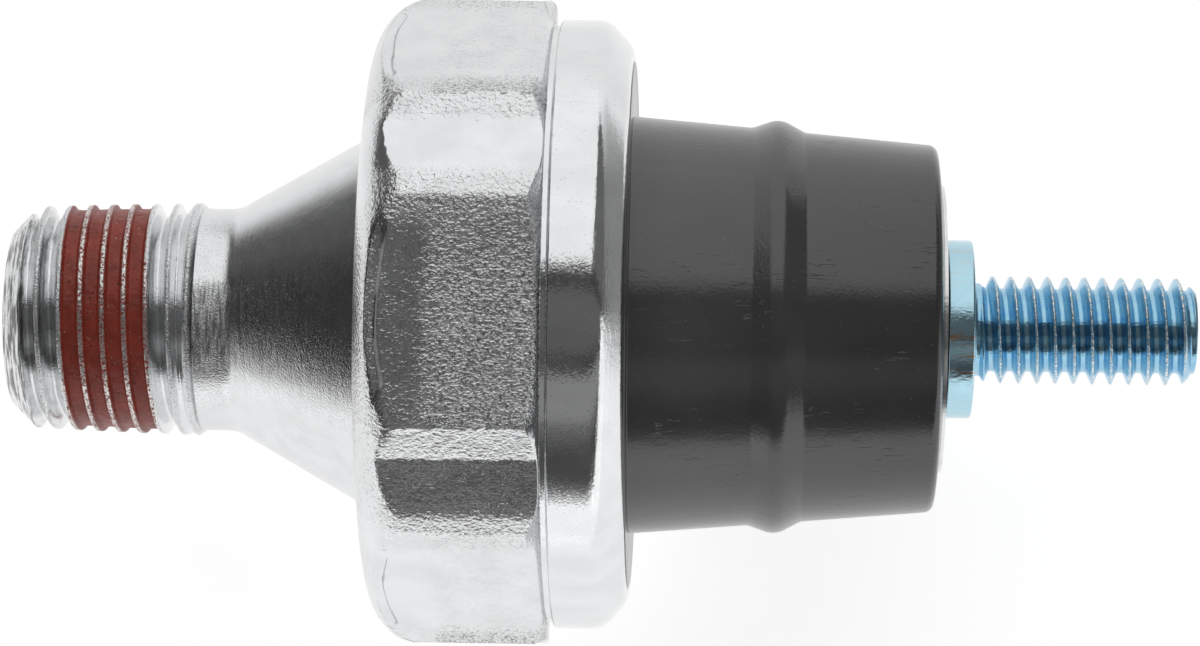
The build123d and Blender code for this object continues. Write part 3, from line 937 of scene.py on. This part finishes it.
class SENDER_OT_inner_pieces(bpy.types.Operator):
    """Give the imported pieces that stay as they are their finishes"""
    bl_idname = "sender.finish_inner_pieces"
    bl_label = "Washers and Inner Pieces"

    def execute(self, context):
        colours = context.scene.sender_colours
        rubber = inner_plastic("black_rubber", RUBBER, 0.6)
        brass = inner_metal("brass", colours.brass, 0.25)
        finishes = {
            "diaphragm_seal": rubber,
            "flange_gasket": rubber,
            "terminal_seal": rubber,
            "diaphragm": inner_plastic("amber_film", colours.film, 0.25),
            "pusher": inner_plastic("brown_moulding", BROWN_MOULDING, 0.4),
            "contact_ring": brass,
            "contact_disc": brass,
            "spring_seat": brass,
            "contact_spring": inner_metal("spring_steel", SPRING_STEEL, 0.3),
            "terminal_washer": inner_metal("washer_steel", colours.washer, 0.2),
        }
        for name, material in finishes.items():
            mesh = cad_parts[name].data
            mesh.materials.clear()
            mesh.materials.append(material)
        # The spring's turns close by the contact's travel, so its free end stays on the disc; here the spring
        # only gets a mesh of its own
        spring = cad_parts["contact_spring"]
        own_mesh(spring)
        return {"FINISHED"}


# Each softbox: bearing, height of its upper edge and half its width in degrees, and brightness
SOFTBOXES = {
    "upper_softbox": (0, 70, 30, 0.88),
    "lower_softbox": (180, 21, 30, 1.0),
    "lower_left_softbox": (232, 14, 25, 1.0),
    "lower_right_softbox": (120, 20, 30, 1.0),
}


def softbox(name, middle, azimuth, high, half_width, brightness):
    """A soft rectangular light from the floor's level up to an elevation, as seen from the sender."""
    reach = 0.45
    lift = high / 2
    height = 2 * reach * math.tan(high / 2)
    width = 2 * reach * math.tan(half_width)
    light = bpy.data.lights.new(name, "AREA")
    light.shape = "RECTANGLE"
    light.size = width
    light.size_y = height
    light.energy = brightness * math.pi * width * height
    lamp = bpy.data.objects.new(name, light)
    level = math.cos(lift)
    direction = Vector((math.sin(azimuth) * level, math.cos(azimuth) * level, math.sin(lift)))
    lamp.location = middle + reach * direction
    lamp.rotation_euler = (-direction).to_track_quat("-Z", "Y").to_euler()
    lamp.visible_camera = False
    bpy.context.scene.collection.objects.link(lamp)


def floor_material():
    """A pale floor that keeps the shadow, white to the camera and in gloss, and grey beside the sender."""
    material, tree, bsdf = shader("pale_floor")
    bsdf.inputs["Roughness"].default_value = 0.9
    bsdf.inputs["Specular IOR Level"].default_value = 0.0
    rays = add_node(tree, "ShaderNodeLightPath").outputs
    place = add_node(tree, "ShaderNodeTexCoord").outputs["Object"]
    parts = add_node(tree, "ShaderNodeSeparateXYZ", {"Vector": place}).outputs
    # Grey that only gloss mirrors: patches beyond the sender to its left and right, faint on its far side
    sideways = combine(tree, "SUBTRACT", parts["X"], 25 * MM)
    bearing = combine(tree, "ARCTAN2", sideways, parts["Y"])
    left = product(tree, ramp(tree, bearing, math.radians(-20), math.radians(-30)),
                   ramp(tree, bearing, math.radians(-72), math.radians(-60)))
    right = product(tree, ramp(tree, bearing, math.radians(25), math.radians(60), 0.0, 0.85),
                    ramp(tree, bearing, math.radians(100), math.radians(88)))
    left = product(tree, left, ramp(tree, parts["Y"], 36 * MM, 50 * MM))
    right = product(tree, right, ramp(tree, sideways, 28 * MM, 42 * MM))
    beyond = ramp(tree, parts["Y"], 0, 25 * MM, 0.0, 0.14)
    aside = combine(tree, "MAXIMUM", combine(tree, "MAXIMUM", left, right), beyond)
    aside = product(tree, aside, rays["Is Glossy Ray"])
    base = blend_colours(tree, aside, (0.86, 0.86, 0.86), (0.12, 0.12, 0.12))
    tree.links.new(base, bsdf.inputs["Base Color"])
    seen = combine(tree, "MAXIMUM", rays["Is Camera Ray"], rays["Is Glossy Ray"])
    seen = combine(tree, "MAXIMUM", seen, rays["Is Transmission Ray"])
    shown = product(tree, seen, ramp(tree, aside, 0, 1, 0.75, 0.08))
    bsdf.inputs["Emission Color"].default_value = (1, 1, 1, 1)
    tree.links.new(shown, bsdf.inputs["Emission Strength"])
    return material


# The studio's ceiling from low beyond -Y, over the top, to low beyond +Y:
# degrees from overhead, and brightness
CEILING_BANDS = (
    (-90, 0.15), (-65, 0.15), (-63.5, 0.07), (-52, 0.07), (-46, 0.11), (-41, 0.16), (-36, 0.26), (-21, 0.27),
    (-20, 0.06), (-14, 0.06), (-12.5, 0.12), (-1, 0.12), (1, 0.13), (11, 0.13), (12.5, 0.05), (18.5, 0.05),
    (21, 0.14), (90, 0.14),
)


def studio_world():
    """White behind the picture, and a dark banded ceiling over the sender."""
    world = bpy.data.worlds.new("studio")
    world.use_nodes = True
    tree = world.node_tree
    place = add_node(tree, "ShaderNodeTexCoord").outputs["Generated"]
    parts = add_node(tree, "ShaderNodeSeparateXYZ", {"Vector": place}).outputs
    lean = combine(tree, "ARCTAN2", parts["Y"], parts["Z"])
    share = ramp(tree, lean, -math.pi / 2, math.pi / 2)
    bands = add_node(tree, "ShaderNodeValToRGB", {"Fac": share})
    stops = bands.color_ramp.elements
    while len(stops) < len(CEILING_BANDS):
        stops.new(0.5)
    for stop, (degrees, brightness) in zip(stops, CEILING_BANDS):
        stop.position = (degrees + 90) / 180
        stop.color = (brightness, brightness, brightness, 1)
    left = ramp(tree, parts["X"], -0.5, -0.75)
    height = ramp(tree, parts["Z"], 0.22, 0.38)
    beside = blend_colours(tree, height, (0.11, 0.11, 0.11), (0.035, 0.035, 0.035))
    ceiling = blend_colours(tree, left, bands.outputs["Color"], beside)
    seen = add_node(tree, "ShaderNodeLightPath").outputs["Is Camera Ray"]
    tree.links.new(blend_colours(tree, seen, ceiling, (1, 1, 1)), tree.nodes["Background"].inputs["Color"])
    return world


# Where on the axis the camera aims, how far along the axis it stands beyond that, and how far the axis
# lies below the picture's middle
AIM_PLACE = 25.537 * MM
AXIS_TILT_OFFSET = 6.1 * MM
AXIS_DROP = 0.065 * MM


class SENDER_OT_stage(bpy.types.Operator):
    """Set the floor, the soft lights, the world and the camera"""
    bl_idname = "sender.set_stage"
    bl_label = "Stage"

    def execute(self, context):
        settings = context.scene.sender_stage
        scene = context.scene
        bpy.ops.object.select_all(action="DESELECT")
        bpy.ops.mesh.primitive_plane_add(size=4.0, location=(0, 0, BODY_LOW.z))
        floor = context.object
        floor.name = "pale_floor"
        floor.data.materials.append(floor_material())

        middle = Vector(((BODY_LOW.x + STUD_HIGH.x) / 2, 0, 0))
        for name, (bearing, high, half_width, share) in SOFTBOXES.items():
            softbox(name, middle, math.radians(bearing), math.radians(high), math.radians(half_width),
                    share * settings.softbox_brightness)
        scene.world = studio_world()

        camera_data = bpy.data.cameras.new("camera")
        camera_data.lens = settings.lens
        camera_data.sensor_width = 36.0
        camera = bpy.data.objects.new("camera", camera_data)
        scene.collection.objects.link(camera)
        target = Vector((AIM_PLACE, 0, 0))
        offset = Vector((AXIS_TILT_OFFSET, -math.cos(settings.elevation) * settings.distance,
                         math.sin(settings.elevation) * settings.distance))
        back = offset.normalized()
        right = (Vector((1, 0, 0)) - back * back.x).normalized()
        up = back.cross(right)
        turn = Matrix((right, up, back)).transposed().to_4x4()
        roll = Matrix.Rotation(settings.roll, 4, "Z")
        aim = target + up * AXIS_DROP
        camera.matrix_world = Matrix.Translation(aim + offset) @ turn @ roll
        scene.camera = camera
        scene.view_settings.view_transform = "Standard"
        return {"FINISHED"}


class SENDER_PT_panel(bpy.types.Panel):
    """Lists the sender's pieces in the sidebar"""
    bl_idname = "SENDER_PT_panel"
    bl_label = "Oil Pressure Sender"
    bl_space_type = "VIEW_3D"
    bl_region_type = "UI"
    bl_category = "Sender"

    def draw(self, context):
        layout = self.layout
        for operator in OPERATORS:
            layout.operator(operator.bl_idname)
        for group in GROUPS:
            settings = getattr(context.scene, group)
            box = layout.box()
            for name in settings.__annotations__:
                box.prop(settings, name)


OPERATORS = (
    SENDER_OT_body, SENDER_OT_sealant, SENDER_OT_insulator, SENDER_OT_stud, SENDER_OT_inner_pieces,
    SENDER_OT_stage,
)
GROUPS = {
    "sender_body": SenderBodySizes,
    "sender_sealant": SenderSealantSizes,
    "sender_insulator": SenderInsulatorSizes,
    "sender_stud": SenderStudSizes,
    "sender_colours": SenderColours,
    "sender_stage": SenderStageSettings,
}


def register():
    """Registers the settings, the operators and the panel."""
    for name, group in GROUPS.items():
        bpy.utils.register_class(group)
        setattr(bpy.types.Scene, name, PointerProperty(type=group))
    for operator in OPERATORS:
        bpy.utils.register_class(operator)
    bpy.utils.register_class(SENDER_PT_panel)


def unregister():
    """Takes back what register added."""
    bpy.utils.unregister_class(SENDER_PT_panel)
    for operator in reversed(OPERATORS):
        bpy.utils.unregister_class(operator)
    for name, group in reversed(GROUPS.items()):
        delattr(bpy.types.Scene, name)
        bpy.utils.unregister_class(group)


def main():
    """Makes every piece and the stage."""
    register()
    bpy.ops.sender.make_body()
    bpy.ops.sender.make_sealant()
    bpy.ops.sender.make_insulator()
    bpy.ops.sender.make_stud()
    bpy.ops.sender.finish_inner_pieces()
    bpy.ops.sender.set_stage()


if __name__ == "__main__":
    main()
